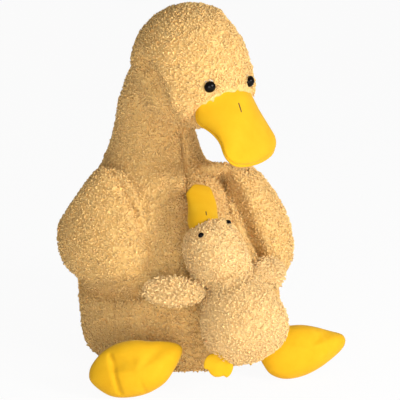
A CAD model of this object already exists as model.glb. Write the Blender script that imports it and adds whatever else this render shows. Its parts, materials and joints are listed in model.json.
# %% [markdown]
# # A plush duck that hugs her duckling
# The real thing is a soft toy about half a metre tall: a mother duck in curly fleece, sitting on
# her own flat base, with a yellow velour bill and two webbed velour feet. A small duckling of the
# same fleece lies with its belly against hers and looks up at her.
#
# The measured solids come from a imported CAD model, which also knows what moves. This lesson
# gives them their looks. Every length is in metres and in the model's own frame: +Z is up and
# the duck's chest faces -Y, so the duck's left side is +X.

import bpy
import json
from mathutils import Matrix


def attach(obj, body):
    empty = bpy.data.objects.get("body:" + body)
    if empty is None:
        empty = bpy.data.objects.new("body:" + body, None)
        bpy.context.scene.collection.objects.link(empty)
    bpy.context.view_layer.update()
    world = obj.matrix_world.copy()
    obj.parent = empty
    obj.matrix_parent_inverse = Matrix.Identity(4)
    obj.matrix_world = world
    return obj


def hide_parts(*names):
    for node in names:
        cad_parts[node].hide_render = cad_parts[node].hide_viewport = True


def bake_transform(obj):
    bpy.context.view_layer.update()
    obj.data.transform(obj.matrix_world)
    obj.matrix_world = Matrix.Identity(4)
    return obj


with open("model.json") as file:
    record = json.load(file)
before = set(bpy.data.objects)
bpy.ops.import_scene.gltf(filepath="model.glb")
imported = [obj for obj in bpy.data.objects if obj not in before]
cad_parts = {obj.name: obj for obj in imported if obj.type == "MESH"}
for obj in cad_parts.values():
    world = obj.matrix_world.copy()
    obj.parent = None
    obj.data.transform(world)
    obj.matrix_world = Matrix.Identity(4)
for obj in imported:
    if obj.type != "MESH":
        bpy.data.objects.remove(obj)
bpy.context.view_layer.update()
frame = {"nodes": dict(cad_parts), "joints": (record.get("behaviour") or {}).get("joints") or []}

# %% Tools of the trade
import json
import math

import bpy
import numpy as np
from mathutils import Matrix, Vector
from mathutils.bvhtree import BVHTree

UP = np.array([0.0, 0.0, 1.0])


def level_way(turn):
    return np.array([math.sin(turn), -math.cos(turn), 0.0])


def sloped(level, angle):
    return level * math.cos(angle) + UP * math.sin(angle)


def in_scene(name, data):
    obj = bpy.data.objects.new(name, data)
    bpy.context.scene.collection.objects.link(obj)
    return obj


# %% [markdown]
# ## The camera
# The photograph looks at the duck from its right front and a little from above, through a
# long lens: the feet and the head show no strong perspective. So the camera stands 2 m away,
# 25 degrees round to the duck's right and 14 degrees up. It comes first, because the seams and
# folds below are placed by where the photograph shows them.

# %% Camera
CAMERA_TURN = math.radians(-25)
CAMERA_RISE = math.radians(14)
CAMERA_AWAY = 2.0
CAMERA_AIM = np.array([0.0263, -0.0123, 0.2150])
HALF_VIEW = 0.1444
PHOTO_SIZE = 400

camera_back = sloped(level_way(CAMERA_TURN), CAMERA_RISE)
camera_place = CAMERA_AIM + CAMERA_AWAY * camera_back
camera_data = bpy.data.cameras.new("camera")
camera_data.lens = camera_data.sensor_width / 2 / HALF_VIEW
camera = in_scene("camera", camera_data)
camera.location = camera_place
camera.rotation_euler = Vector(-camera_back).to_track_quat("-Z", "Y").to_euler()
bpy.context.scene.camera = camera
print("lens", round(camera_data.lens, 1), "mm")

# %% [markdown]
# ## Helpers for closed forms
# A stuffed toy is made of swelling closed shapes, so all of them start as rings of points
# joined into a skin. The rings follow a few rows of numbers, and a smooth curve is drawn through
# the rows, which is easier to adjust than hundreds of separate points.

# %% A smooth curve through a few rows
def curve_through(rows, count, closed=False):
    rows = np.asarray(rows, float)
    last = len(rows) - 1
    spans = len(rows) if closed else last
    made = []
    for t in np.linspace(0, spans, count, endpoint=not closed):
        i = min(int(t), spans - 1)
        f = t - i
        near = [(i + k) % len(rows) if closed else min(max(i + k, 0), last) for k in (-1, 0, 1, 2)]
        a, b, c, d = rows[near]
        bend = 2 * a - 5 * b + 4 * c - d + f * (3 * (b - c) + d - a)
        made.append(b + 0.5 * f * (c - a + f * bend))
    return np.array(made)


# %% A skin through rings of points
def ring_skin(tail, rings, tip):
    around = len(rings[0])
    points = np.vstack([[tail], *rings, [tip]])
    at = lambda i, j: 1 + i * around + j % around
    faces = [(0, at(0, j + 1), at(0, j)) for j in range(around)]
    for i in range(len(rings) - 1):
        faces += [(at(i, j), at(i, j + 1), at(i + 1, j + 1), at(i + 1, j)) for j in range(around)]
    end, top = len(points) - 1, len(rings) - 1
    faces += [(end, at(top, j), at(top, j + 1)) for j in range(around)]
    return points, faces


def placed(form, matrix):
    points, faces = form
    matrix = np.array(matrix)
    return points @ matrix[:3, :3].T + matrix[:3, 3], faces


# %% A stuffed tube with level rings, and a ball
def level_circle(around):
    angles = np.linspace(0, 2 * math.pi, around, endpoint=False)
    return np.stack([np.cos(angles), np.sin(angles), np.zeros(around)], 1)


def tube_form(shares, foot, height, radius, lean, rings=70, around=96):
    rows = curve_through(shares, rings)
    circle = level_circle(around)
    middles = [UP * (foot + row[0] * height) + lean * row[2] for row in rows]
    layers = [middle + circle * row[1] * radius for middle, row in zip(middles, rows)]
    return ring_skin(middles[0], layers, middles[-1])


def ball_form(half_sizes, around=72, rings=36):
    circle = level_circle(around)
    heights = np.linspace(-math.pi / 2, math.pi / 2, rings + 2)[1:-1]
    layers = [circle * math.cos(h) + UP * math.sin(h) for h in heights]
    points, faces = ring_skin(-UP, layers, UP)
    return points * np.array(half_sizes), faces


# %% [markdown]
# ## From forms to one skin
# Fleece is sewn from a few cut pieces, but the pile hides the joins, so body, neck and head read
# as one soft skin. Boolean union would leave hard edges where the forms meet. A voxel remesh
# melts the forms together into one even net, and a short smoothing rounds the valleys between
# them, as filling does under cloth.

# %% Make, melt together and smooth
def mesh_object(name, points, faces):
    mesh = bpy.data.meshes.new(name)
    mesh.from_pydata([tuple(p) for p in points], [], faces)
    mesh.validate()
    return in_scene(name, mesh)


def apply_modifiers(obj):
    bpy.context.view_layer.update()
    seen = obj.evaluated_get(bpy.context.evaluated_depsgraph_get())
    made = bpy.data.meshes.new_from_object(seen)
    obj.modifiers.clear()
    obj.data = made
    made.name = obj.name
    made.shade_smooth()


def smoothed(obj, repeat):
    smooth = obj.modifiers.new("smooth", "SMOOTH")
    smooth.iterations = repeat
    apply_modifiers(obj)


def melted(name, forms, net, smoothing):
    points, faces, start = [], [], 0
    for form_points, form_faces in forms:
        points.append(form_points)
        faces += [tuple(start + i for i in face) for face in form_faces]
        start += len(form_points)
    obj = mesh_object(name, np.vstack(points), faces)
    melt = obj.modifiers.new("melt", "REMESH")
    melt.mode = "VOXEL"
    melt.voxel_size = net
    smoothed(obj, smoothing)
    print(name, len(obj.data.vertices), "points")
    return obj


# %% Read and move a skin's points
def points_of(obj):
    places = np.empty(len(obj.data.vertices) * 3)
    obj.data.vertices.foreach_get("co", places)
    return places.reshape(-1, 3)


def normals_of(obj):
    found = np.empty(len(obj.data.vertices) * 3, np.float32)
    obj.data.vertex_normals.foreach_get("vector", found)
    return found.reshape(-1, 3).astype(float)


def move_points(obj, places):
    obj.data.vertices.foreach_set("co", np.asarray(places, np.float32).ravel())
    obj.data.update()


def swell(obj, distance):
    move_points(obj, points_of(obj) + normals_of(obj) * distance)


def keep_above(obj, height):
    places = points_of(obj)
    places[:, 2] = np.maximum(places[:, 2], height)
    move_points(obj, places)


def tree_of(obj):
    corners = [point.co for point in obj.data.vertices]
    return BVHTree.FromPolygons(corners, [face.vertices for face in obj.data.polygons])


# %% [markdown]
# ## Seams and folds
# A seam pulls the cloth in along a line. Each one is given as a few points of the photograph.
# A ray from the camera through such a point finds the place on the skin, so the fold lies on
# the form and looks right from any side. The skin is then pressed in beside the line, most on
# the line and fading out over its width.

# %% Find a place on a skin, and press a line into it
camera_right = np.cross(UP, camera_back)
camera_right /= np.linalg.norm(camera_right)
camera_up = np.cross(camera_back, camera_right)


def sight(x, y):
    half = PHOTO_SIZE / 2
    across, rise = (x - half) / half * HALF_VIEW, (half - y) / half * HALF_VIEW
    way = -camera_back + camera_right * across + camera_up * rise
    return Vector(way / np.linalg.norm(way))


def on_skin(tree, spots):
    hits = [tree.ray_cast(Vector(camera_place), sight(x, y))[0] for x, y in spots]
    return np.array([hit for hit in hits if hit is not None])


FAR_AWAY = 9.0


def distance_to_line(places, line):
    nearest = np.full(len(places), FAR_AWAY)
    for a, b in zip(line[:-1], line[1:]):
        along = b - a
        share = np.clip((places - a) @ along / max(along @ along, 1e-12), 0, 1)
        nearest = np.minimum(nearest, np.linalg.norm(places - a - share[:, None] * along, axis=1))
    return nearest


def press_line(obj, tree, spots, width, depth, way=None):
    places = points_of(obj)
    share = np.exp(-((distance_to_line(places, on_skin(tree, spots)) / width) ** 2))
    way = normals_of(obj) if way is None else way
    move_points(obj, places - way * (depth * share)[:, None])


# %% [markdown]
# ## Trimming an outline, and pressing straight back
# Where a form is fuller than the toy is in the photograph, its skin is trimmed to a line of
# sight: a plane through the camera and two points of the photograph. Points beyond the plane are
# drawn back to it, points close to it are eased over, so that no hard edge is left, and the trim
# fades out past the ends of the line.
#
# A deep groove that is pressed along the skin's own normals folds the cloth over itself, so it
# is pressed straight away from the camera instead. Where one form overhangs another, only the
# skin on one side of the line steps back.

# %% Trim to a line of sight
TRIM_END, TRIM_FADE = 1.6, 0.5


def trim_to_sight(obj, a, b, ease):
    first, second = np.array(sight(*a)), np.array(sight(*b))
    outward = np.cross(first, second)
    outward /= np.linalg.norm(outward)
    places = points_of(obj)
    beyond = (places - camera_place) @ outward
    eased = np.where(beyond > -ease, ease * (1 - np.exp(-(beyond + ease) / ease)) - ease, beyond)
    middle, half = (first + second) / 2, np.linalg.norm(first - second) / 2
    way = places - camera_place
    way /= np.linalg.norm(way, axis=1, keepdims=True)
    aside = np.linalg.norm(way - middle / np.linalg.norm(middle), axis=1) / half
    share = np.clip((TRIM_END - aside) / TRIM_FADE, 0, 1)
    move_points(obj, places - outward * ((beyond - eased) * share)[:, None])


# %% Press straight back, on both sides of a line or on one
def press_back(obj, tree, spots, width, depth):
    press_line(obj, tree, spots, width, depth, camera_back)


def step_beside(obj, tree, spots, width, depth, edge):
    places, line = points_of(obj), on_skin(tree, spots)
    nearest, side = np.full(len(places), FAR_AWAY), np.zeros(len(places))
    for a, b in zip(line[:-1], line[1:]):
        along = b - a
        share = np.clip((places - a) @ along / (along @ along), 0, 1)
        off = places - a - share[:, None] * along
        away = np.linalg.norm(off, axis=1)
        closer = away < nearest
        side[closer] = (off @ np.cross(along, camera_back))[closer]
        nearest[closer] = away[closer]
    share = np.exp(-((nearest / np.where(side > 0, width, edge)) ** 2))
    move_points(obj, places - camera_back * (depth * share)[:, None])


# %% [markdown]
# ## The mother's skin
# Her body is a pear that leans back a little, the neck rises from it and carries the head
# forward, and full cheeks hang in front of the neck. These are the same measures as the
# solids', so the skin lies where the solids are. The pile stands about 2.5 mm proud, so the
# cloth under it is drawn in by that much.

# %% Forms of body, neck, head and cheeks
FACE_TURN = math.radians(20)
TRUNK_HEIGHT, TRUNK_RADIUS, TRUNK_LEAN = 0.292, 0.147, 0.052
NECK_SINK, NECK_RISE, NECK_RADIUS = 0.067, 0.025, 0.061
HEAD_HEIGHT, HEAD_FORWARD, HEAD_RADIUS = 0.415, 0.025, 0.086
CHEEK_SIZES, CHEEK_PLACE = (0.085, 0.080, 0.055), (0, -0.011, -0.031)
PILE_HEIGHT = 0.0025

trunk_shares = [
    (-0.07, 0.3, 0), (-0.045, 0.66, 0), (0, 0.9, 0), (0.05, 0.97, 0), (0.13, 0.99, 0.01),
    (0.26, 1, 0.04), (0.4, 0.98, 0.14), (0.53, 0.92, 0.3), (0.65, 0.83, 0.5), (0.76, 0.72, 0.69),
    (0.86, 0.61, 0.85), (0.93, 0.5, 0.95), (0.98, 0.32, 0.99),
]
neck_shares = [
    (0.04, 0.95, 0.02), (0.17, 1.24, 0), (0.28, 1.12, -0.01), (0.37, 1.02, -0.01),
    (0.45, 0.98, 0.03), (0.54, 1, 0.11), (0.62, 1.05, 0.23), (0.71, 1.11, 0.42), (0.81, 1.15, 0.61),
    (0.91, 1.05, 0.78), (0.97, 0.7, 0.85),
]

ahead = level_way(FACE_TURN)
trunk_lean = -ahead * TRUNK_LEAN
trunk = tube_form(trunk_shares, 0, TRUNK_HEIGHT, TRUNK_RADIUS, trunk_lean)
neck_foot = TRUNK_HEIGHT - NECK_SINK
neck_tall = HEAD_HEIGHT + NECK_RISE - neck_foot
neck_lean = ahead * (TRUNK_LEAN + HEAD_FORWARD)
neck = tube_form(neck_shares, neck_foot, neck_tall, NECK_RADIUS, neck_lean)
neck = (neck[0] + trunk_lean, neck[1])
head_place = ahead * HEAD_FORWARD + UP * HEAD_HEIGHT
head_frame = Matrix.Translation(head_place) @ Matrix.Rotation(FACE_TURN, 4, "Z")
skull = placed(ball_form((HEAD_RADIUS,) * 3), head_frame)
cheeks = placed(ball_form(CHEEK_SIZES), head_frame @ Matrix.Translation(CHEEK_PLACE))
print("head at", head_place.round(3))

# %% Melt them into one skin that sits flat
FLEECE_NET, SEAT_LIFT = 0.0026, 0.0004
mother_skin = melted("mother_skin", [trunk, neck, skull, cheeks], FLEECE_NET, 14)
swell(mother_skin, -PILE_HEIGHT)
keep_above(mother_skin, SEAT_LIFT)

# %% [markdown]
# ## Folds of the mother's skin
# The cheek overhangs the neck, and the step between them runs up the side of the head. Down the
# front of the neck lies the seam that joins the two halves of the body, short seams shape the
# forehead and the side, and the weight of the right wing presses a groove into the body under
# it. A seam is a row with its line, its width and its depth, so one loop presses them all.

# %% Where her folds lie in the photograph
CHEEK_EDGE = [(149, 60), (155, 69), (161, 79), (166, 91), (169, 103), (175, 114), (184, 121)]
CHEST_SEAM = [(183, 124), (183, 136), (184, 150), (186, 166), (188, 180), (186, 196)]
FOREHEAD_SEAM = [(226, 34), (232, 50), (237, 70), (239, 90)]
SIDE_SEAM = [(113, 292), (113, 310), (112, 330)]
UNDER_WING = [(82, 286), (98, 293), (116, 296), (134, 295), (150, 290)]
BILL_SEAM = [(195, 121), (199, 112), (206, 104), (216, 99), (228, 96), (240, 94), (252, 97)]
HEAD_OUTLINE = [(250, 62), (246, 46), (237.5, 31), (225, 15.5)]
NECK_FRONT = [(204, 158), (194, 130)]

# %% Press her folds
STEP_WIDTH, STEP_DEPTH, STEP_EDGE = 0.026, 0.022, 0.0015
GROOVE_WIDTH, GROOVE_DEPTH = 0.010, 0.020
HEAD_EASE, NECK_EASE = 0.008, 0.004
skin_tree = tree_of(mother_skin)
her_seams = [
    (CHEEK_EDGE, 0.004, 0.003), (CHEST_SEAM, 0.0045, 0.011), (FOREHEAD_SEAM, 0.004, 0.0022),
    (SIDE_SEAM, 0.004, 0.0026), (BILL_SEAM[:5], 0.010, 0.0065), (BILL_SEAM[4:], 0.007, 0.002),
]
step_beside(mother_skin, skin_tree, CHEEK_EDGE, STEP_WIDTH, STEP_DEPTH, STEP_EDGE)
for line, width, depth in her_seams:
    press_line(mother_skin, skin_tree, line, width, depth)
press_back(mother_skin, skin_tree, UNDER_WING, GROOVE_WIDTH, GROOVE_DEPTH)
for a, b in zip(HEAD_OUTLINE[:-1], HEAD_OUTLINE[1:]):
    trim_to_sight(mother_skin, a, b, HEAD_EASE)
trim_to_sight(mother_skin, *NECK_FRONT, NECK_EASE)
skin_tree = tree_of(mother_skin)
print(len(her_seams), "seams pressed into her skin")

# %% [markdown]
# ## Curly pile
# The fleece is a looped pile brushed into small curls about 5 mm across. Hair particles would
# be lost on export, and a flat noise texture looks like paint at the silhouette. So the cloth
# gets low bumps for its clumps, and each curl is a real little tuft: a thick bent horn of nine
# faces that leaves the cloth and leans over in its own direction. An attribute runs from 0 at a
# tuft's root to 1 at its tip, and the material uses it to lighten the tips.

# %% Clumps of the pile
def add_clumps(obj, size, height):
    clouds = bpy.data.textures.new("pile_clumps", "CLOUDS")
    clouds.noise_scale = size
    clouds.noise_depth = 1
    bumps = obj.modifiers.new("clumps", "DISPLACE")
    bumps.texture = clouds
    bumps.texture_coords = "LOCAL"
    bumps.strength = height
    bumps.mid_level = 0.5
    apply_modifiers(obj)
    print(obj.name, "has clumps", round(height * 1000, 1), "mm high")


# %% Scatter roots over a skin
def scatter(obj, spacing, rng, keep):
    mesh = obj.data
    mesh.calc_loop_triangles()
    corners = np.empty(len(mesh.loop_triangles) * 3, np.int32)
    mesh.loop_triangles.foreach_get("vertices", corners)
    a, b, c = points_of(obj)[corners.reshape(-1, 3)].transpose(1, 0, 2)
    cross = np.cross(b - a, c - a)
    size = np.linalg.norm(cross, axis=1)
    total = np.cumsum(size / 2)
    count = int(total[-1] / spacing**2)
    pick = np.searchsorted(total, (np.arange(count) + rng.random(count)) / count * total[-1])
    pick = np.minimum(pick, len(size) - 1)
    u, v = rng.random((2, count, 1))
    over = u + v > 1
    u, v = np.where(over, 1 - u, u), np.where(over, 1 - v, v)
    roots = a[pick] * (1 - u - v) + b[pick] * u + c[pick] * v
    normals = cross[pick] / size[pick, None]
    wanted = keep(roots, normals)
    return roots[wanted], normals[wanted]


# %% The shape of one tuft
TUFT_SIZES, TUFT_RISES, TUFT_LEANS = (0.75, 1.25), (0.35, 0.75), (1.2, 1.9)
TUFT_TURNS = (0.0, 2.1, 4.2)
ROOT_SINK, FLOOR_GAP = 0.0006, 0.0002


def tuft_points(roots, normals, long, wide, rng):
    count = len(roots)
    side = rng.normal(size=(count, 3))
    side -= normals * np.sum(side * normals, 1, keepdims=True)
    side /= np.linalg.norm(side, axis=1, keepdims=True)
    across = np.cross(normals, side)
    size = rng.uniform(*TUFT_SIZES, (count, 1))
    rise, lean = rng.uniform(*TUFT_RISES, (count, 1)), rng.uniform(*TUFT_LEANS, (count, 1))
    first = normals * np.cos(rise) + side * np.sin(rise)
    second = normals * np.cos(lean) + side * np.sin(lean)
    middle = roots + first * long * size * 0.5
    points = np.empty((count, 7, 3))
    for k, turn in enumerate(TUFT_TURNS):
        spoke = across * math.cos(turn) + side * math.sin(turn)
        slant = across * math.cos(turn) + (normals - first * 0.3) * math.sin(turn)
        points[:, k] = roots - normals * ROOT_SINK + spoke * wide * size / 2
        points[:, 3 + k] = middle + slant * wide * size * 0.42
    points[:, 6] = middle + second * long * size * 0.55
    points[:, :, 2] = np.maximum(points[:, :, 2], FLOOR_GAP)
    return points


# %% All tufts of a skin as one mesh
def tuft_mesh(name, points):
    one = []
    for k in range(3):
        n = (k + 1) % 3
        one += [(k, n, 3 + n), (k, 3 + n, 3 + k), (3 + k, 3 + n, 6)]
    faces = (np.array(one)[None] + 7 * np.arange(len(points))[:, None, None]).reshape(-1, 3)
    mesh = bpy.data.meshes.new(name)
    mesh.vertices.add(len(points) * 7)
    mesh.vertices.foreach_set("co", points.astype(np.float32).ravel())
    mesh.loops.add(len(faces) * 3)
    mesh.loops.foreach_set("vertex_index", faces.astype(np.int32).ravel())
    mesh.polygons.add(len(faces))
    mesh.polygons.foreach_set("loop_start", np.arange(len(faces), dtype=np.int32) * 3)
    mesh.update(calc_edges=True)
    mesh.validate()
    mesh.shade_smooth()
    return mesh


# %% Tufts on a skin, with the curl attribute
ROOT_CURL, BEND_CURL, TIP_CURL, CURL_SPREAD = 0.05, 0.62, 1.0, 0.14


def everywhere(roots, normals):
    return np.full(len(roots), True)


def add_tufts(skin, name, tuft, seed, keep=everywhere):
    spacing, long, wide = tuft
    rng = np.random.default_rng(seed)
    roots, normals = scatter(skin, spacing, rng, keep)
    mesh = tuft_mesh(name, tuft_points(roots, normals, long, wide, rng))
    curls = np.tile([ROOT_CURL] * 3 + [BEND_CURL] * 3 + [TIP_CURL], (len(roots), 1))
    curls = curls + rng.uniform(-CURL_SPREAD, CURL_SPREAD, (len(roots), 1))
    curl = mesh.attributes.new("curl", "FLOAT", "POINT")
    curl.data.foreach_set("value", curls.astype(np.float32).ravel())
    print(name, len(roots), "tufts,", len(mesh.polygons), "faces")
    return in_scene(name, mesh)


# %% [markdown]
# ## Fleece, velour, plastic and thread
# Fleece is matt, deeper in colour between its curls and light at their tips, and a faint sheen
# comes from loose fibres. Light sinks into the loops and comes out beside them, so some
# subsurface scattering softens the shade between the tufts. Velour has a short dense pile, so it
# is smoother, with a soft sheen at grazing angles and patches where the pile has been brushed
# another way. All of it is made from procedural nodes, so nothing depends on an image or on how
# the mesh is unwrapped.

# %% Node helpers
def new_material(name):
    material = bpy.data.materials.new(name)
    material.use_nodes = True
    return material, material.node_tree.nodes, material.node_tree.links


def set_sockets(node, values):
    for socket, value in values.items():
        node.inputs[socket].default_value = value


def noise_node(nodes, links, place, scale, detail, roughness=0.5):
    noise = nodes.new("ShaderNodeTexNoise")
    set_sockets(noise, {"Scale": scale, "Detail": detail, "Roughness": roughness})
    links.new(place.outputs["Object"], noise.inputs["Vector"])
    return noise


def ramp_node(nodes, links, value, stops):
    ramp = nodes.new("ShaderNodeValToRGB")
    ramp.color_ramp.elements[0].position = stops[0][0]
    ramp.color_ramp.elements[0].color = (*stops[0][1], 1)
    ramp.color_ramp.elements[1].position = stops[-1][0]
    ramp.color_ramp.elements[1].color = (*stops[-1][1], 1)
    for position, colour in stops[1:-1]:
        ramp.color_ramp.elements.new(position).color = (*colour, 1)
    links.new(value, ramp.inputs["Fac"])
    return ramp


def mix_node(nodes, links, share, a, b, way="MIX"):
    mix = nodes.new("ShaderNodeMix")
    mix.data_type = "RGBA"
    mix.blend_type = way
    for socket, value in (("Factor", share), ("A", a), ("B", b)):
        if isinstance(value, bpy.types.NodeSocket):
            links.new(value, mix.inputs[socket])
        else:
            mix.inputs[socket].default_value = value
    return mix.outputs["Result"]


def bump_node(nodes, links, height, strength, distance):
    bump = nodes.new("ShaderNodeBump")
    set_sockets(bump, {"Strength": strength, "Distance": distance})
    links.new(height, bump.inputs["Height"])
    return bump


def times_node(nodes, links, value, factor):
    product = nodes.new("ShaderNodeMath")
    product.operation = "MULTIPLY"
    product.inputs[1].default_value = factor
    links.new(value, product.inputs[0])
    return product.outputs["Value"]


# %% Curly fleece
LOOP_SCALE, STRAY_SCALE, PATCH_SCALE, FIBRE_SCALE = 230, 160, 20, 900
STRAY = 0.006
FADED_PATCHES = [(0.35, (0.93, 0.91, 0.88)), (0.65, (1, 1, 1))]


def fleece_material(name, valley, crest, tip):
    material, nodes, links = new_material(name)
    cloth = nodes["Principled BSDF"]
    place = nodes.new("ShaderNodeTexCoord")
    stray = noise_node(nodes, links, place, STRAY_SCALE, 2, 0.6)
    wandering = nodes.new("ShaderNodeVectorMath")
    wandering.operation = "MULTIPLY_ADD"
    wandering.inputs[1].default_value = (STRAY, STRAY, STRAY)
    links.new(stray.outputs["Color"], wandering.inputs[0])
    links.new(place.outputs["Object"], wandering.inputs[2])
    loops = nodes.new("ShaderNodeTexVoronoi")
    loops.feature = "SMOOTH_F1"
    set_sockets(loops, {"Scale": LOOP_SCALE, "Smoothness": 0.4})
    links.new(wandering.outputs["Vector"], loops.inputs["Vector"])
    nubs = ramp_node(nodes, links, loops.outputs["Distance"], [(0.1, crest), (0.65, valley)])
    curl = nodes.new("ShaderNodeAttribute")
    curl.attribute_name = "curl"
    pile = mix_node(nodes, links, curl.outputs["Fac"], nubs.outputs["Color"], (*tip, 1))
    patches = noise_node(nodes, links, place, PATCH_SCALE, 3)
    shade = ramp_node(nodes, links, patches.outputs["Fac"], FADED_PATCHES)
    colour = mix_node(nodes, links, 1.0, pile, shade.outputs["Color"], "MULTIPLY")
    links.new(colour, cloth.inputs["Base Color"])
    low = times_node(nodes, links, loops.outputs["Distance"], -1.0)
    fibres = noise_node(nodes, links, place, FIBRE_SCALE, 3, 0.7)
    fine = bump_node(nodes, links, fibres.outputs["Fac"], 0.4, 0.0006)
    coarse = bump_node(nodes, links, low, 0.6, 0.0016)
    links.new(fine.outputs["Normal"], coarse.inputs["Normal"])
    links.new(coarse.outputs["Normal"], cloth.inputs["Normal"])
    cloth.subsurface_method = "BURLEY"
    set_sockets(cloth, {
        "Roughness": 0.95, "Specular IOR Level": 0.1, "Subsurface Weight": 0.6,
        "Subsurface Radius": (1.0, 0.75, 0.5), "Subsurface Scale": 0.0025, "Sheen Weight": 0.2,
        "Sheen Roughness": 0.6, "Sheen Tint": (1.0, 0.84, 0.64, 1),
    })
    return material


mother_shades = (0.79, 0.49, 0.17), (0.94, 0.64, 0.26), (0.96, 0.68, 0.29)
duckling_shades = (0.79, 0.51, 0.22), (0.92, 0.65, 0.29), (0.97, 0.71, 0.34)
mother_fleece = fleece_material("curly_fleece", *mother_shades)
duckling_fleece = fleece_material("duckling_fleece", *duckling_shades)
print("made", mother_fleece.name, "and", duckling_fleece.name)

# %% Yellow velour
BRUSH_SCALE, NAP_SCALE = 38, 1300
VELOUR_SHADES = [
    (0.3, (0.71, 0.375, 0.005)),
    (0.55, (0.74, 0.41, 0.008)),
    (0.8, (0.77, 0.45, 0.014)),
]


def velour_material():
    material, nodes, links = new_material("yellow_velour")
    cloth = nodes["Principled BSDF"]
    place = nodes.new("ShaderNodeTexCoord")
    brushed = noise_node(nodes, links, place, BRUSH_SCALE, 4, 0.6)
    colour = ramp_node(nodes, links, brushed.outputs["Fac"], VELOUR_SHADES)
    links.new(colour.outputs["Color"], cloth.inputs["Base Color"])
    pile = noise_node(nodes, links, place, NAP_SCALE, 2, 0.6)
    bump = bump_node(nodes, links, pile.outputs["Fac"], 0.35, 0.0005)
    links.new(bump.outputs["Normal"], cloth.inputs["Normal"])
    set_sockets(cloth, {
        "Roughness": 0.8, "Specular IOR Level": 0.2, "Sheen Weight": 0.35,
        "Sheen Roughness": 0.4, "Sheen Tint": (1.0, 0.85, 0.35, 1),
    })
    return material


yellow_velour = velour_material()
print("made", yellow_velour.name)


# %% Eye plastic, thread, and what is hidden inside
def plain_material(name, colour, roughness, grain_scale, grain, shine=0.5):
    material, nodes, links = new_material(name)
    shader = nodes["Principled BSDF"]
    place = nodes.new("ShaderNodeTexCoord")
    marks = noise_node(nodes, links, place, grain_scale, 3)
    lighter = tuple(min(1.0, c * 1.25 + 0.001) for c in colour)
    tone = ramp_node(nodes, links, marks.outputs["Fac"], [(0.4, colour), (0.7, lighter)])
    links.new(tone.outputs["Color"], shader.inputs["Base Color"])
    bump = bump_node(nodes, links, marks.outputs["Fac"], grain, 0.0003)
    links.new(bump.outputs["Normal"], shader.inputs["Normal"])
    set_sockets(shader, {"Roughness": roughness, "Specular IOR Level": shine})
    return material


eye_plastic = plain_material("eye_plastic", (0.0025, 0.0018, 0.0016), 0.06, 60, 0.02, 0.14)
dark_thread = plain_material("dark_thread", (0.1, 0.045, 0.012), 0.8, 700, 0.6)
white_wadding = plain_material("white_wadding", (0.86, 0.84, 0.8), 1.0, 120, 0.8)
washer_plastic = plain_material("washer_plastic", (0.82, 0.82, 0.8), 0.45, 90, 0.1)
for node_name, node in frame["nodes"].items():
    inside = washer_plastic if "washer" in node_name else white_wadding
    node.data.materials.clear()
    node.data.materials.append(inside)
print(len(frame["nodes"]), "solids take the materials of the inside")


def dress(obj, material):
    obj.data.materials.clear()
    obj.data.materials.append(material)


# %% [markdown]
# ## Pads: wings and feet
# A wing is two cut pieces sewn round their outline and stuffed: thick in the middle, thin at the
# rim, and curled round the body. A foot is made the same way, with the dips of the web between
# its toes. So one helper makes them all: it draws the outline, and fills it from the heart to
# the rim on both faces.

# %% A stuffed pad
WEB_ANGLE, WEB_SPREAD = math.radians(34), math.radians(13)


def pad_form(outline, wide, long, thick, bend=None, dip=0.0, rim=96, rings=14):
    edge = curve_through(outline, rim, closed=True) * np.array([wide / 2, long])
    edge = np.column_stack([edge, np.zeros(len(edge))])
    heart = np.array([0, long / 2, 0])
    toe = np.abs(np.arctan2(edge[:, 0], edge[:, 1])) - WEB_ANGLE
    web = dip * np.exp(-((toe / WEB_SPREAD) ** 2))

    def layer(step, face):
        angle = step / rings * math.pi / 2
        ring = heart + (edge - heart) * math.sin(angle)
        ring[:, 2] = face * thick / 2 * math.cos(angle) * (1 - web * math.sin(angle))
        if bend:
            turn, reach = ring[:, 0] / bend, bend + ring[:, 2]
            ring = np.column_stack([reach * np.sin(turn), ring[:, 1], reach * np.cos(turn) - bend])
        return ring

    under = [layer(step, -1) for step in range(1, rings + 1)]
    over = [layer(step, 1) for step in range(rings - 1, 0, -1)]
    return ring_skin(heart - UP * thick / 2, under + over, heart + UP * thick / 2)


def facing(place, out, along, spin=0.0):
    z = Vector(out).normalized()
    x = Vector(along).cross(z).normalized()
    y = z.cross(x)
    turned = Matrix((x, y, z)).transposed().to_4x4()
    return Matrix.Translation(place) @ turned @ Matrix.Rotation(spin, 4, "Z")

# %% [markdown]
# ## The mother's wings
# Each wing hangs from the shoulder and lies round the body. The hinge places are the solids'
# own. After melting, points that would lie inside her body are pushed back onto it, so that
# the wing rests on her side as a stuffed wing does, and the cloth blends from body to wing
# across the shoulder seam, so that it stays sewn on when the wing lifts.

# %% Wing shapes
WING_LONG, WING_WIDE, WING_THICK, WING_BEND = 0.172, 0.146, 0.066, 0.170
wing_outline = [
    (0, 0), (0.4, 0.04), (0.66, 0.15), (0.84, 0.32), (0.96, 0.52), (1, 0.7), (0.94, 0.87),
    (0.72, 0.98), (0.3, 1), (-0.2, 0.96), (-0.62, 0.87), (-0.92, 0.7), (-1, 0.5), (-0.88, 0.3),
    (-0.64, 0.14), (-0.36, 0.04),
]
joint_of = {joint["name"]: joint for joint in frame["joints"]}


# %% Let a skin rest on another
REST_GAP, DEEP, SHALLOW = 0.0006, 0.06, 0.012


def rest_on(obj, tree, gap, deepest=DEEP):
    places = points_of(obj)
    for i, place in enumerate(places):
        spot, normal, _, _ = tree.find_nearest(Vector(place), deepest)
        if spot is not None and (Vector(place) - spot).dot(normal) < gap:
            places[i] = spot + normal * gap
    move_points(obj, places)


# %% A wing, and the roll of cloth that leads to it
ROLL_RADIUS = 0.0125


def cloth_roll(start, end):
    half = np.linalg.norm(end - start) / 2
    roll = ball_form((ROLL_RADIUS, ROLL_RADIUS, half + ROLL_RADIUS))
    return placed(roll, facing((start + end) / 2, end - start, UP))


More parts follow.
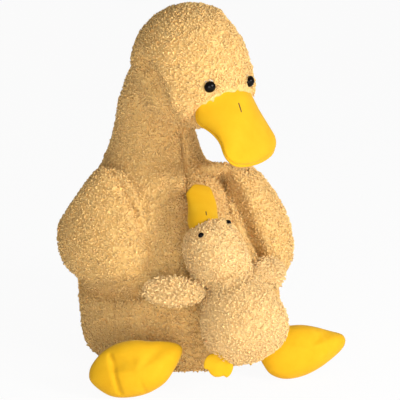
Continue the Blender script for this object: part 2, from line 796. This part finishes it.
def make_wing(side, face, slope, spin, roll=None):
    hinge = np.array(joint_of[f"mother_{side}_wing_lift"]["pos_m"])
    normal = sloped(level_way(math.radians(face)), math.radians(slope))
    place = facing(hinge, normal, -UP, math.radians(spin))
    mirrored = side == "right"
    if mirrored:
        place = place @ Matrix.Scale(-1, 4, (1, 0, 0))
    pad = pad_form(wing_outline, WING_WIDE, WING_LONG, WING_THICK, WING_BEND)
    points, faces = placed(pad, place)
    if mirrored:
        faces = [tuple(reversed(f)) for f in faces]
    forms = [(points, faces)]
    if roll:
        wing_tree = BVHTree.FromPolygons([Vector(p) for p in points], faces)
        start = on_skin(skin_tree, roll[:1])[0]
        end = on_skin(wing_tree, roll[1:])[0] - camera_back * ROLL_RADIUS
        forms.append(cloth_roll(start, end))
        print(side, "roll from", start.round(3), "to", end.round(3))
    wing = melted(f"mother_{side}_wing", forms, FLEECE_NET, 4)
    swell(wing, -PILE_HEIGHT * 0.6)
    rest_on(wing, skin_tree, REST_GAP)
    return wing


# %% Both wings, and their folds
ROLL_ENDS = [(203, 169), (240, 173)]
OUTER_EDGE, EDGE_EASE = [(99, 166), (55, 228)], 0.006
WING_BORDER = [(112, 172), (124, 192), (135, 214), (143, 238), (149, 262)]
BESIDE_WING = [(122, 172), (134, 190), (143, 208)]
WING_FOLD = [(224, 180), (234, 197), (243, 216), (250, 234), (257, 254), (262, 266)]
right_folds = [(WING_BORDER, 0.006, 0.009), (BESIDE_WING, 0.013, 0.016)]
left_folds = [(WING_FOLD, 0.012, 0.022), (WING_FOLD[:2], 0.014, 0.014)]
right_wing = make_wing("right", -54, 29, 18)
left_wing = make_wing("left", 50, 28, 0, ROLL_ENDS)
trim_to_sight(right_wing, *OUTER_EDGE, EDGE_EASE)
for wing, folds in ((right_wing, right_folds), (left_wing, left_folds)):
    wing_tree = tree_of(wing)
    for fold in folds:
        press_back(wing, wing_tree, *fold)
smoothed(left_wing, 5)
for wing in (right_wing, left_wing):
    rest_on(wing, skin_tree, REST_GAP)

# %% [markdown]
# ## The mother's legs and webbed feet
# A short stuffed leg comes out low at the front of the body and ends in a webbed foot that
# stands on its heel with its sole to the viewer. Leg and foot are one piece of velour.

# %% Leg and foot shapes
FOOT_WIDE, FOOT_TALL, FOOT_THICK = 0.128, 0.076, 0.050
LEG_RADIUS, LEG_LONG, LEG_SINK = 0.023, 0.076, 0.020
LEG_OVERLAP, FOOT_SINK, SOLE_LIFT, WEB_DIP = 0.004, 0.0005, 0.0003, 0.34
VELOUR_NET = 0.0018
right_foot_outline = [
    (0.21, 0.07), (0.49, 0.16), (0.72, 0.33), (0.91, 0.51), (1.0, 0.64), (0.97, 0.73), (0.84, 0.81),
    (0.61, 0.88), (0.36, 0.93), (0.08, 1.01), (-0.22, 1.03), (-0.49, 0.99), (-0.72, 0.9),
    (-0.92, 0.76), (-1.01, 0.63), (-1.02, 0.5), (-0.9, 0.33), (-0.69, 0.16), (-0.41, 0.07),
    (-0.06, 0.04),
]
left_foot_outline = [
    (-0.01, -0.03), (0.26, 0.02), (0.49, 0.09), (0.75, 0.19), (0.91, 0.28), (0.98, 0.37),
    (0.98, 0.44), (0.92, 0.52), (0.68, 0.63), (0.4, 0.76), (0.12, 0.86), (-0.15, 0.91),
    (-0.44, 0.93), (-0.73, 0.89), (-0.94, 0.8), (-0.97, 0.63), (-0.98, 0.46), (-0.93, 0.3),
    (-0.85, 0.16), (-0.71, 0.06), (-0.53, -0.01), (-0.28, -0.04),
]


# %% A leg with its foot
def make_leg(side, outline, hip, face, lean_back, spin):
    seam = np.array(joint_of[f"mother_{side}_leg_swing"]["pos_m"])
    out = level_way(math.radians(hip))
    ankle = seam + out * LEG_LONG
    stump = ball_form((LEG_RADIUS, LEG_RADIUS, (LEG_LONG + LEG_SINK) / 2 + LEG_OVERLAP))
    tube = placed(stump, facing((seam - out * LEG_SINK + ankle) / 2, out, UP))
    normal = sloped(level_way(math.radians(face)), math.radians(lean_back))
    place = facing(ankle, normal, UP, math.radians(spin))
    place = place @ Matrix.Translation((0, -FOOT_TALL / 2, 0))
    foot = placed(pad_form(outline, FOOT_WIDE, FOOT_TALL, FOOT_THICK, dip=WEB_DIP), place)
    foot = (foot[0] - UP * (foot[0][:, 2].min() + FOOT_SINK), foot[1])
    leg = melted(f"mother_{side}_leg", [tube, foot], VELOUR_NET, 6)
    keep_above(leg, SOLE_LIFT)
    rest_on(leg, skin_tree, REST_GAP)
    return leg


# %% Both legs, and the creases of their soles
RIGHT_HIP, LEFT_HIP = -39, 26
right_leg = make_leg("right", right_foot_outline, RIGHT_HIP, -25, 12, 14)
left_leg = make_leg("left", left_foot_outline, LEFT_HIP, -8, 12, 9)
TOE_CREASE = [(103, 346), (110, 356), (113, 368), (116, 381), (120, 393)]
TOE_DIMPLE = [(117, 364), (124, 361), (131, 361)]
SOLE_SEAM = [(320, 333), (324, 343), (327, 353)]
right_tree, left_tree = tree_of(right_leg), tree_of(left_leg)
press_line(right_leg, right_tree, TOE_CREASE, 0.0035, 0.0030)
press_line(right_leg, right_tree, TOE_DIMPLE, 0.009, 0.0035)
press_line(left_leg, left_tree, SOLE_SEAM, 0.0035, -0.0012)

# %% [markdown]
# ## The mother's bill and eyes
# The bill is a broad flat duck's bill of velour: an upper half over a thinner lower one, sewn
# along the rim, and a short dark stitch marks its middle near the forehead. The eyes are glossy
# domes that press a little into the pile.

# %% Bill halves
bill_shares = [
    (0, 0.84, 1.25, 1), (0.2, 0.92, 1.15, 1), (0.4, 0.88, 0.87, 1), (0.6, 0.88, 0.62, 1),
    (0.76, 0.93, 0.5, 0.95), (0.87, 0.86, 0.42, 0.85), (0.95, 0.66, 0.33, 0.7),
    (0.99, 0.34, 0.2, 0.4), (1.0, 0.1, 0.1, 0.15),
]
SAG_AT, FULLNESS = 0.2, 0.8
HALF_GAP, SEAM_DIP = 0.00012, 0.0004


def bill_form(upper, wide, long, high, droop, sag, around=72, rings=60):
    side = 1 if upper else -1
    angles = np.linspace(0, -2 * math.pi, around, endpoint=False)
    rise = side * np.sin(angles)
    layers = []
    for row in curve_through(bill_shares, rings):
        forward, tall = row[0] * long, row[2 if upper else 3] * high
        crown = np.where(rise > 0, np.abs(rise) ** FULLNESS * tall, -rise * SEAM_DIP)
        level = side * (HALF_GAP + crown)
        turn = droop * row[0]
        sides = sag * (row[1] * np.cos(angles)) ** 2 * row[0] * (1 - row[0]) ** 4
        sides_sag = sides / (SAG_AT * (1 - SAG_AT) ** 4)
        y = forward * math.cos(turn) + level * math.sin(turn)
        z = level * math.cos(turn) - forward * math.sin(turn) - sides_sag
        layers.append(np.column_stack([row[1] * wide / 2 * np.cos(angles), y, z]))
    return ring_skin(layers[0].mean(0), layers, layers[-1].mean(0))


def bill_halves(owner, wide, long, thick, lip, rim, droop, sag, place, net, smoothing):
    halves = []
    for half, reach, high in (("upper", long, thick - lip), ("lower", long + rim, lip)):
        form = bill_form(half == "upper", wide, reach, high, droop, sag)
        halves.append(melted(f"{owner}_{half}_bill", [placed(form, place)], net, smoothing))
    return halves


# %% Her bill on her face
BILL_WIDE, BILL_LONG, BILL_THICK, BILL_LIP, BILL_RIM = 0.122, 0.108, 0.036, 0.013, 0.0025
BILL_DROP, BILL_TURN, BILL_PITCH, BILL_ROLL, BILL_DROOP = map(math.radians, (33, 6, 41, 1, 17))
BILL_SINK, BILL_SAG, BILL_NET = 0.022, 0.025, 0.0014
bill_seat = sloped(level_way(BILL_TURN), -BILL_DROP) * (HEAD_RADIUS - BILL_SINK)
bill_frame = (
    head_frame @ Matrix.Translation(bill_seat)
    @ Matrix.Rotation(BILL_TURN, 4, "Z") @ Matrix.Rotation(BILL_PITCH, 4, "X")
    @ Matrix.Rotation(math.pi, 4, "Z") @ Matrix.Rotation(BILL_ROLL, 4, "Y")
)
upper_bill, lower_bill = bill_halves(
    "mother", BILL_WIDE, BILL_LONG, BILL_THICK, BILL_LIP, BILL_RIM, BILL_DROOP, BILL_SAG,
    bill_frame, BILL_NET, 6,
)

# %% [markdown]
# ## A stitch and a safety eye
# The mark on the bill is a few turns of dark thread, drawn tight so that both ends dip into the
# velour. It is a thin tube along a line that rays find on the bill, so it follows the curve. A
# safety eye is a hard dome on a stalk, pushed through the cloth and held by a washer inside. It
# is made as rings round its own axis, with an undercut rim that meets the pile.

# %% A stitched mark
STITCH_RINGS, STITCH_SIDES, RAY_START = 25, 14, 0.03


def stitch_on(half, name, place, spot, long, thick):
    tree, turned = tree_of(half), np.array(place.to_3x3())
    middle, along, normal = np.array(place @ Vector(spot)), turned[:, 1], turned[:, 2]
    across = np.cross(along, normal)
    turns = np.linspace(0, 2 * math.pi, STITCH_SIDES, endpoint=False)
    rings = []
    for step in np.linspace(-0.5, 0.5, STITCH_RINGS):
        above = Vector(middle + along * long * step + normal * RAY_START)
        spot = np.array(tree.ray_cast(above, Vector(-normal))[0])
        spot -= normal * thick * (0.35 + 1.1 * (2 * abs(step)) ** 6)
        round_end = math.sqrt(max(0.05, 1 - (2 * abs(step)) ** 8))
        twist = 1 + 0.14 * np.cos(3 * turns - step * 40)
        circle = np.outer(np.cos(turns) * twist, across) + np.outer(np.sin(turns) * twist, normal)
        rings.append(spot + circle * thick * round_end)
    points, faces = ring_skin(rings[0].mean(0), rings, rings[-1].mean(0))
    stitch = mesh_object(name, points, faces)
    stitch.data.shade_smooth()
    return stitch


# %% A domed eye on its stalk
def eye_form(radius, dome, stalk, stalk_long):
    angles = np.linspace(0, math.pi / 2, 15)[:-1]
    under_rim = [(radius * 0.88, -0.3 * dome), (radius, -0.12 * dome)]
    rows = [(stalk, -stalk_long), (stalk, -0.32 * dome), *under_rim]
    rows += [(radius * math.cos(a), dome * math.sin(a)) for a in angles]
    circle = level_circle(48)
    return ring_skin(-UP * stalk_long, [circle * r + UP * z for r, z in rows], UP * dome)


def make_eye(name, tree, middle, towards, sizes, proud):
    towards = Vector(towards).normalized()
    seat = tree.ray_cast(Vector(middle) + towards * 0.2, -towards)[0] + towards * proud
    points, faces = placed(eye_form(*sizes), facing(seat, towards, UP))
    eye = mesh_object(name, points, faces)
    eye.data.shade_smooth()
    print(name, "at", [round(x, 3) for x in seat])
    return eye


# %% Her mark and eyes
# an eye's sizes are its radius, its dome, its stalk's radius and the stalk's length
EYE_SIZES, EYE_PROUD = (0.008, 0.0065, 0.0024, 0.015), PILE_HEIGHT - 0.001
EYE_SPREAD, EYE_TURN, EYE_DROP = map(math.radians, (24.5, -4, 12))
MARK_SPOT, MARK_LONG, MARK_THICK = (0.012, 0.040, 0), 0.0145, 0.0011
bill_mark = stitch_on(
    upper_bill, "mother_bill_stitch", bill_frame, MARK_SPOT, MARK_LONG, MARK_THICK
)
mother_eyes = []
for side, sign in (("right", -1), ("left", 1)):
    level = level_way(sign * EYE_SPREAD + EYE_TURN)
    gaze = head_frame.to_3x3() @ Vector(sloped(level, -EYE_DROP))
    name = f"mother_{side}_eye_dome"
    mother_eyes.append(make_eye(name, skin_tree, head_place, gaze, EYE_SIZES, EYE_PROUD))

# %% [markdown]
# ## The duckling
# The duckling lies back to front against its mother, so its own back and the top of its head
# face us. It is a small pear with a ball for a head, made in its own upright frame and then
# leaned over onto her.

# %% The duckling's skin
CHICK_AWAY, CHICK_RAISE, CHICK_TALL, CHICK_RADIUS = 0.2495, 0.056, 0.126, 0.058
CHICK_HEAD_RADIUS, CHICK_HEAD_TALL, CHICK_HEAD_FOOT = 0.042, 0.110, 0.091
CHICK_SIDE_LEAN, CHICK_BACK_LEAN, CHICK_TWIST = map(math.radians, (-7.5, -39, 4))
CHICK_PILE, CHICK_NET = 0.002, 0.0018
CHICK_NECK_CREASE = [(200, 289), (212, 292), (224, 290), (235, 284)]
chick_shares = [
    (-0.02, 0.05, 0), (0.02, 0.35, 0), (0.08, 0.7, 0), (0.2, 0.92, 0), (0.36, 1, 0),
    (0.54, 0.95, 0), (0.7, 0.82, 0), (0.84, 0.66, 0), (0.94, 0.5, 0), (0.985, 0.28, 0),
]
chick_head_shares = [
    (-0.02, 0.05, 0), (0.02, 0.35, 0), (0.1, 0.68, 0), (0.25, 0.93, 0), (0.45, 1, 0), (0.62, 1, 0),
    (0.78, 0.95, 0), (0.9, 0.78, 0), (0.97, 0.5, 0), (1.0, 0.2, 0),
]
chick_lean = Matrix.Rotation(CHICK_SIDE_LEAN, 3, "Y") @ Matrix.Rotation(CHICK_BACK_LEAN, 3, "X")
chick_place = level_way(0) * CHICK_AWAY + UP * CHICK_RAISE
chick_frame = facing(chick_place, chick_lean @ Vector(UP), -level_way(CHICK_TWIST))
upright = np.zeros(3)
pear = tube_form(chick_shares, 0, CHICK_TALL, CHICK_RADIUS, upright)
egg = tube_form(chick_head_shares, CHICK_HEAD_FOOT, CHICK_HEAD_TALL, CHICK_HEAD_RADIUS, upright)
chick_middle = chick_frame @ Vector((0, 0, CHICK_HEAD_FOOT + CHICK_HEAD_TALL / 2))

# %% Lay it on its mother
BELLY_GAP, LEG_GAP = 0.0035, 0.0015
CREASE_WIDTH, CREASE_DEPTH = 0.006, 0.0032
forms = [placed(pear, chick_frame), placed(egg, chick_frame)]
chick_skin = melted("duckling_skin", forms, CHICK_NET, 8)
swell(chick_skin, -CHICK_PILE)
press_line(chick_skin, tree_of(chick_skin), CHICK_NECK_CREASE, CREASE_WIDTH, CREASE_DEPTH)
rest_on(chick_skin, skin_tree, BELLY_GAP)
rest_on(chick_skin, tree_of(left_leg), LEG_GAP)
chick_tree = tree_of(chick_skin)

# %% The duckling's bill
CHICK_BILL_WIDE, CHICK_BILL_LONG, CHICK_BILL_THICK, CHICK_BILL_LIP = 0.048, 0.076, 0.020, 0.007
CHICK_DROOP, CHICK_TIP, CHICK_SAG = math.radians(6), math.radians(20), 0.004
CHICK_BILL_SINK, CHICK_BILL_NET = 0.012, 0.0009
crown_of_chick = CHICK_HEAD_FOOT + CHICK_HEAD_TALL - CHICK_BILL_SINK
chick_bill_seat = chick_frame @ Matrix.Translation((-0.005, -0.004, crown_of_chick))
chick_bill_frame = chick_bill_seat @ Matrix.Rotation(CHICK_TIP, 4, "Y")
chick_bill_frame = chick_bill_frame @ Matrix.Rotation(math.radians(90), 4, "X")
chick_upper, chick_lower = bill_halves(
    "duckling", CHICK_BILL_WIDE, CHICK_BILL_LONG, CHICK_BILL_THICK, CHICK_BILL_LIP, 0,
    CHICK_DROOP, CHICK_SAG, chick_bill_frame, CHICK_BILL_NET, 5,
)
TIP_OUTLINE, TIP_EASE = [((195, 182), (182, 197)), ((218, 206), (210, 185))], 0.002
for half in (chick_upper, chick_lower):
    for a, b in TIP_OUTLINE:
        trim_to_sight(half, a, b, TIP_EASE)

# %% The duckling's mark and eyes
CHICK_EYE_SIZES, CHICK_EYE_PROUD = (0.004, 0.0034, 0.0014, 0.009), CHICK_PILE - 0.0006
chick_mark = stitch_on(
    chick_upper, "duckling_bill_stitch", chick_bill_frame, (-0.001, 0.021, 0), 0.0085, 0.0008
)
chick_eyes = []
for side, gaze in (("left", (-0.52, -0.61, 0.6)), ("right", (0.41, -0.52, 0.75))):
    gaze = chick_frame.to_3x3() @ Vector(gaze)
    name = f"duckling_{side}_eye_dome"
    eye = make_eye(name, chick_tree, chick_middle, gaze, CHICK_EYE_SIZES, CHICK_EYE_PROUD)
    chick_eyes.append(eye)

# %% [markdown]
# ## The duckling's wings and feet
# Its wings are small fleece leaves and its feet thin webbed pads, sewn on by their roots. They
# are pads like the mother's, laid flat on its back and sides. Where one would lie inside a
# neighbour, its points are pushed out onto that neighbour. At the mother's wings only shallow
# points are pushed, because a deep one there could be thrown to the wing's far side.

# %% Leaves and webs
def both_halves(half):
    return half + [(-x, y) for x, y in half[-2:0:-1]]


leaf_outline = both_halves([
    (0, 0), (0.46, 0.06), (0.8, 0.26), (1, 0.52), (0.86, 0.78), (0.42, 0.97), (0, 1),
])
web_outline = both_halves([
    (0, 0), (0.3, 0.05), (0.5, 0.3), (0.92, 0.5), (1, 0.72), (0.84, 0.9), (0.58, 0.9),
    (0.32, 0.98), (0, 1.02),
])
flap_rests = [
    (skin_tree, DEEP), (tree_of(left_leg), DEEP),
    (tree_of(right_wing), SHALLOW), (tree_of(left_wing), SHALLOW), (chick_tree, DEEP),
]
FLAP_GAP = 0.0005


def make_flap(name, spot, along, outline, wide, long, thick, net, inward):
    at = chick_frame @ Vector(spot)
    along = (chick_frame.to_3x3() @ Vector(along)).normalized()
    back = chick_frame.to_3x3() @ Vector((0, -1, 0))
    out = (back - along * back.dot(along)).normalized()
    pad = placed(pad_form(outline, wide, long, thick), facing(at, out, along))
    flap = melted(name, [pad], net, 3)
    swell(flap, -inward)
    for tree, deepest in flap_rests:
        rest_on(flap, tree, FLAP_GAP + inward, deepest)
    return flap, np.array(along)


# %% Two wings and two feet
# outline, width, length, thickness, net and how far the cloth is drawn in under its pile
LEAF = leaf_outline, 0.046, 0.088, 0.016, 0.0014, 0.001
WEB = web_outline, 0.040, 0.044, 0.008, 0.0009, 0.0
chick_flaps = {}
for side, kind, spot, along, cut in (
    ("left_wing", "leaf", (-0.037, -0.006, 0.102), (-0.73, 0.46, 0.46), LEAF),
    ("right_wing", "leaf", (0.036, -0.004, 0.096), (0.8, 0.42, 0.42), LEAF),
    ("left_foot", "web", (-0.034, 0.002, 0.030), (-0.5, 0.5, -0.66), WEB),
    ("right_foot", "web", (0.016, 0.026, 0.030), (0.25, 0.95, -0.1), WEB),
):
    chick_flaps[side] = make_flap(f"duckling_{side}_{kind}", spot, along, *cut)

# %% [markdown]
# ## Dress every piece
# Each skin gets its clumps, its material and its pile. Cloth that crosses a seam bends there:
# it follows the body on one side and the wing, leg or head on the other. Bills, marks and eyes
# ride on the body that carries them.

# %% Clumps first
CLUMP_SIZE, CLUMP_HEIGHT = 0.008, 0.0028
CHICK_CLUMP_SIZE, CHICK_CLUMP_HEIGHT = 0.006, 0.0022
for cloth in (mother_skin, right_wing, left_wing):
    add_clumps(cloth, CLUMP_SIZE, CLUMP_HEIGHT)
add_clumps(chick_skin, CHICK_CLUMP_SIZE, CHICK_CLUMP_HEIGHT)


# %% Where no tuft is wanted
def clear_of(tree, gap):
    def keep(roots, normals):
        free = np.ones(len(roots), bool)
        for i, root in enumerate(roots):
            free[i] = tree.find_nearest(Vector(root), gap)[0] is None
        return free
    return keep


def both(*tests):
    return lambda roots, normals: np.logical_and.reduce([test(roots, normals) for test in tests])


BARE_EDGE, UNDERSIDE = 0.003, -0.85


def above_floor(roots, normals):
    return (roots[:, 2] > BARE_EDGE) & (normals[:, 2] > UNDERSIDE)


def part_of_pile(low, high):
    return lambda roots, normals: (roots[:, 2] > low) & (roots[:, 2] <= high)


# %% The mother's pile
PILE_PARTING, HEAD_TOP = 0.262, 1
# a tuft's numbers are its spacing, its length and its width
BODY_TUFT, HEAD_TUFT = (0.0037, 0.0046, 0.0039), (0.0033, 0.0040, 0.0034)
RIGHT_WING_TUFT, LEFT_WING_TUFT = (0.0035, 0.0042, 0.0036), (0.0036, 0.0046, 0.0039)
OFF_BILL, OFF_EYE, OFF_BODY = 0.0034, 0.0014, 0.003
off_the_bill = [clear_of(tree_of(half), OFF_BILL) for half in (upper_bill, lower_bill)]
off_the_eyes = [clear_of(tree_of(eye), OFF_EYE) for eye in mother_eyes]
off_the_body = clear_of(skin_tree, OFF_BODY)
on_body = both(above_floor, part_of_pile(0, PILE_PARTING))
on_head = both(part_of_pile(PILE_PARTING, HEAD_TOP), both(*off_the_bill, *off_the_eyes))
mother_piles = [
    add_tufts(mother_skin, "mother_body_pile", BODY_TUFT, 1, on_body),
    add_tufts(mother_skin, "mother_head_pile", HEAD_TUFT, 9, on_head),
]
right_wing_pile, left_wing_pile = [
    add_tufts(wing, f"mother_{side}_wing_pile", tuft, seed, off_the_body)
    for wing, side, tuft, seed in (
        (right_wing, "right", RIGHT_WING_TUFT, 2), (left_wing, "left", LEFT_WING_TUFT, 3),
    )
]

# %% The duckling's pile
CHICK_TUFT, LEAF_TUFT = (0.0032, 0.0042, 0.0034), (0.0032, 0.0054, 0.0036)
CHICK_OFF_FACE, CHICK_OFF_BODY = 0.0018, 0.004
hard_bits = (chick_upper, chick_lower, *chick_eyes)
off_its_face = both(*[clear_of(tree_of(bit), CHICK_OFF_FACE) for bit in hard_bits])
on_chick = both(off_its_face, clear_of(skin_tree, CHICK_OFF_BODY))
chick_pile = add_tufts(chick_skin, "duckling_pile", CHICK_TUFT, 4, on_chick)
chick_wing_piles = {
    side: add_tufts(chick_flaps[side][0], f"duckling_{side}_pile", LEAF_TUFT, seed)
    for side, seed in (("left_wing", 5), ("right_wing", 6))
}

BODY_FILL, WING_FILL, LEG_FILL, BILL_FILL, FLAP_FILL = 0.8, 0.7, 0.85, 0.7, 0.4


def stuffed(piece, fill, *nodes):
    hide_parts(*nodes)


for piece in (mother_skin, *mother_piles):
    dress(piece, mother_fleece)
    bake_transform(piece)
stuffed(
    mother_skin, BODY_FILL, "mother_body_cover", "mother_body_stuffing", "mother_neck_cover",
    "mother_neck_stuffing", "mother_head_cover", "mother_head_stuffing", "mother_base_panel",
)


# %% Sew on wings and legs
WING_REACH, LEG_REACH, FLAP_REACH = (0.012, 0.03), (0.006, 0.02), (0.002, 0.012)


def sew(pieces, material, slot, joint, way, reach):
    for piece in pieces:
        dress(piece, material)
        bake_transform(piece)
    print(len(pieces), "skins sewn on at", joint)


wings = {"right": (right_wing, right_wing_pile), "left": (left_wing, left_wing_pile)}
for side, (wing, pile) in wings.items():
    sew((wing, pile), mother_fleece, "fleece", f"mother_{side}_wing_lift", -UP, WING_REACH)
    stuffed(wing, WING_FILL, f"mother_{side}_wing_cover", f"mother_{side}_wing_stuffing")
for side, leg, hip in (("right", right_leg, RIGHT_HIP), ("left", left_leg, LEFT_HIP)):
    out = level_way(math.radians(hip))
    sew((leg,), yellow_velour, "velour", f"mother_{side}_leg_swing", out, LEG_REACH)
    stuffed(leg, LEG_FILL, f"mother_{side}_leg_cover", f"mother_{side}_leg_stuffing")


# %% Bills, marks and eyes ride on the body that carries them
def carry(piece, body, material):
    dress(piece, material)
    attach(piece, body)
    print(piece.name, "rides on", body)


def carry_face(halves, half_nodes, mark, mark_node, eyes, body):
    for half, nodes in zip(halves, half_nodes):
        carry(half, body, yellow_velour)
        stuffed(half, BILL_FILL, *nodes)
    carry(mark, body, dark_thread)
    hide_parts(mark_node)
    for eye in eyes:
        carry(eye, body, eye_plastic)
        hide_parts(eye.name.removesuffix("_dome"))


her_bill_nodes = [("mother_bill_upper", "mother_bill_stuffing"), ("mother_bill_lower",)]
carry_face(
    (upper_bill, lower_bill), her_bill_nodes, bill_mark, "mother_bill_mark", mother_eyes,
    "mother_head",
)

# %% The duckling rides on its own body, and its limbs are sewn to it
for piece in (chick_skin, chick_pile):
    carry(piece, "duckling", duckling_fleece)
stuffed(
    chick_skin, BODY_FILL, "duckling_body_cover", "duckling_body_stuffing",
    "duckling_head_cover", "duckling_head_stuffing",
)
chick_bill_nodes = [("duckling_bill_upper",), ("duckling_bill_lower",)]
carry_face(
    (chick_upper, chick_lower), chick_bill_nodes, chick_mark, "duckling_bill_mark", chick_eyes,
    "duckling",
)
for side, (flap, along) in chick_flaps.items():
    is_wing = side.endswith("wing")
    cloth = (duckling_fleece, "duckling_fleece") if is_wing else (yellow_velour, "velour")
    joint = f"duckling_{side}_lift" if is_wing else f"duckling_{side}_swing"
    pieces = (flap, chick_wing_piles[side]) if is_wing else (flap,)
    sew(pieces, *cloth, joint, along, FLAP_REACH)
    stuffed(flap, FLAP_FILL, f"duckling_{side}")

# %% [markdown]
# ## Floor, white backdrop and soft light
# The photograph has a pure white ground and hardly any shadow. A wide soft lamp to the right of
# the camera models the forms, a weaker one low in front lights the belly under the wings and the
# duckling, and the world lights the rest evenly. Only the camera sees the world as plain white.
# The floor shows the camera mostly its own white glow, so that only a faint shadow is left.

# %% One look for the camera, another for the light
def split_look(nodes, links, for_light, for_camera, share):
    rays, mix = nodes.new("ShaderNodeLightPath"), nodes.new("ShaderNodeMixShader")
    part = times_node(nodes, links, rays.outputs["Is Camera Ray"], share)
    links.new(part, mix.inputs["Fac"])
    links.new(for_light.outputs[0], mix.inputs[1])
    links.new(for_camera.outputs[0], mix.inputs[2])
    return mix.outputs["Shader"]


# %% Floor
FLOOR_GLOW, FLOOR_HALF, FLOOR_DROP = 0.94, 6, 0.0005
floor_material, floor_nodes, floor_links = new_material("pale_floor")
floor_shader = floor_nodes["Principled BSDF"]
set_sockets(floor_shader, {"Base Color": (0.9, 0.9, 0.9, 1), "Roughness": 0.9})
floor_white = floor_nodes.new("ShaderNodeEmission")
floor_white.inputs["Strength"].default_value = 1.0
floor_look = split_look(floor_nodes, floor_links, floor_shader, floor_white, FLOOR_GLOW)
floor_links.new(floor_look, floor_nodes["Material Output"].inputs["Surface"])
half = FLOOR_HALF
floor_corners = [(-half, -half, 0), (half, -half, 0), (half, half, 0), (-half, half, 0)]
floor = mesh_object("floor", floor_corners, [(0, 1, 2, 3)])
floor.location.z = -FLOOR_DROP
floor.data.materials.append(floor_material)
print("floor", 2 * FLOOR_HALF, "m wide,", FLOOR_DROP * 1000, "mm below the seat")

# %% White world
ROOM_LIGHT = 0.32
world = bpy.data.worlds.new("white_world")
bpy.context.scene.world = world
world.use_nodes = True
world_nodes, world_links = world.node_tree.nodes, world.node_tree.links
lighting = world_nodes["Background"]
set_sockets(lighting, {"Color": (1.0, 0.985, 0.96, 1), "Strength": ROOM_LIGHT})
backdrop = world_nodes.new("ShaderNodeBackground")
set_sockets(backdrop, {"Color": (1, 1, 1, 1), "Strength": 1.0})
world_look = split_look(world_nodes, world_links, lighting, backdrop, 1.0)
world_links.new(world_look, world_nodes["World Output"].inputs["Surface"])
print("room light", ROOM_LIGHT)


# %% Lamps
def add_lamp(name, place, size, power, colour):
    light = bpy.data.lights.new(name, "AREA")
    light.shape = "DISK"
    light.size = size
    light.energy = power
    light.color = colour
    lamp = in_scene(name, light)
    lamp.location = place
    lamp.rotation_euler = (Vector(CAMERA_AIM) - Vector(place)).to_track_quat("-Z", "Y").to_euler()
    print(name, "lamp,", power, "W at", place.round(2))


key_place = CAMERA_AIM + camera_back * 1.1 + camera_right * 1.35 + UP * 0.3
fill_place = CAMERA_AIM + camera_back * 1.25 - UP * 0.25
add_lamp("key", key_place, 0.7, 25, (1.0, 0.98, 0.95))
add_lamp("fill", fill_place, 0.8, 8, (1.0, 0.97, 0.92))
bpy.context.scene.view_settings.view_transform = "Standard"
